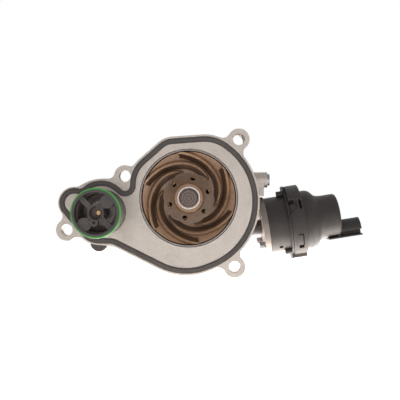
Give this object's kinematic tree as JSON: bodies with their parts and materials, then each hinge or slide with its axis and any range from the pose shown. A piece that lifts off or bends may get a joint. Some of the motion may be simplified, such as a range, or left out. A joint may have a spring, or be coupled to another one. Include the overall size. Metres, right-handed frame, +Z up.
{
  "type": "water pump",
  "caption": "Engine water pump with a curved-vane impeller, sliding control sleeve, thermostat insert, solenoid valve and drive hub.",
  "frame": {"origin": "where the pump shaft's axis meets the gasket face", "axes": "-Y is the gasket face's outward normal, towards the engine; the shaft runs along +Y to the drive hub; +X points to the control valve; +Z up"},
  "size_m": [0.2501, 0.142, 0.1194],
  "materials": {
    "cast_aluminium": "die-cast, machined on the gasket face",
    "steel": "machined steel",
    "zinc_steel": "zinc plated",
    "brass": "plain",
    "impeller_plastic": "satin bronze-brown",
    "black_plastic": "fine grained black",
    "natural_plastic": "natural",
    "black_rubber": "matt",
    "green_rubber": "satin green",
    "carbon": "carbon graphite",
    "ceramic": "lapped ceramic",
    "copper": "enamelled winding"
  },
  "bodies": {
    "housing": {"pump_housing": "cast_aluminium", "main_gasket": "black_rubber", "bearing_outer_ring": "steel", "bearing_seals": "black_rubber", "seal_cup": "brass", "seal_carbon_ring": "carbon", "sleeve_spring": "steel", "thermostat_body": "black_plastic", "thermostat_o_ring": "green_rubber", "thermostat_pin": "brass", "thermostat_spring": "steel", "thermostat_bridge": "steel", "pocket_plug": "black_plastic", "boss_plug": "zinc_steel", "valve_flange": "cast_aluminium", "flange_screws": "zinc_steel", "valve_base": "black_plastic", "neck_o_ring": "black_rubber", "guide_bush": "brass", "armature_spring": "steel", "solenoid_core": "steel", "coil_bobbin": "natural_plastic", "solenoid_coil": "copper", "solenoid_can": "zinc_steel", "lock_ring": "black_plastic", "valve_cap": "black_plastic", "connector_shell": "black_plastic", "connector_terminals": "brass", "cap_seal": "black_rubber"},
    "rotor": {"pump_shaft": "steel", "impeller": "impeller_plastic", "impeller_insert": "steel", "seal_mating_ring": "ceramic", "drive_hub": "steel"},
    "ball_row": {"bearing_balls": "steel", "ball_cage": "brass"},
    "roller_row": {"bearing_rollers": "steel", "roller_cage": "brass"},
    "sleeve": {"control_sleeve": "steel", "sleeve_piston": "black_plastic", "piston_seals": "black_rubber"},
    "thermostat_element": {"wax_capsule": "brass", "thermostat_valve": "steel"},
    "armature": {"solenoid_armature": "steel", "valve_pin": "steel"}
  },
  "joints": [
    {"name": "shaft_spin", "type": "hinge", "parent": "housing", "child": "rotor", "pos_m": [0, 0, 0], "axis": [0, 1, 0], "continuous": true},
    {"name": "ball_row_spin", "type": "hinge", "parent": "housing", "child": "ball_row", "pos_m": [0, 0, 0], "axis": [0, 1, 0], "continuous": true},
    {"name": "roller_row_spin", "type": "hinge", "parent": "housing", "child": "roller_row", "pos_m": [0, 0, 0], "axis": [0, 1, 0], "continuous": true},
    {"name": "sleeve_slide", "type": "slide", "parent": "housing", "child": "sleeve", "axis": [0, 1, 0], "range_m": [0, 0.0115], "stiffness_N_per_m": 400, "deforming": ["sleeve_spring"]},
    {"name": "thermostat_lift", "type": "slide", "parent": "housing", "child": "thermostat_element", "axis": [0, 1, 0], "range_m": [0, 0.008], "stiffness_N_per_m": 600, "deforming": ["thermostat_spring"]},
    {"name": "armature_slide", "type": "slide", "parent": "housing", "child": "armature", "axis": [0.9877, 0, 0.1564], "range_m": [0, 0.003], "stiffness_N_per_m": 500, "deforming": ["armature_spring"]}
  ],
  "couplings": [
    {"joint": "ball_row_spin", "follows": "shaft_spin", "ratio": 0.3822},
    {"joint": "roller_row_spin", "follows": "shaft_spin", "ratio": 0.397}
  ]
}
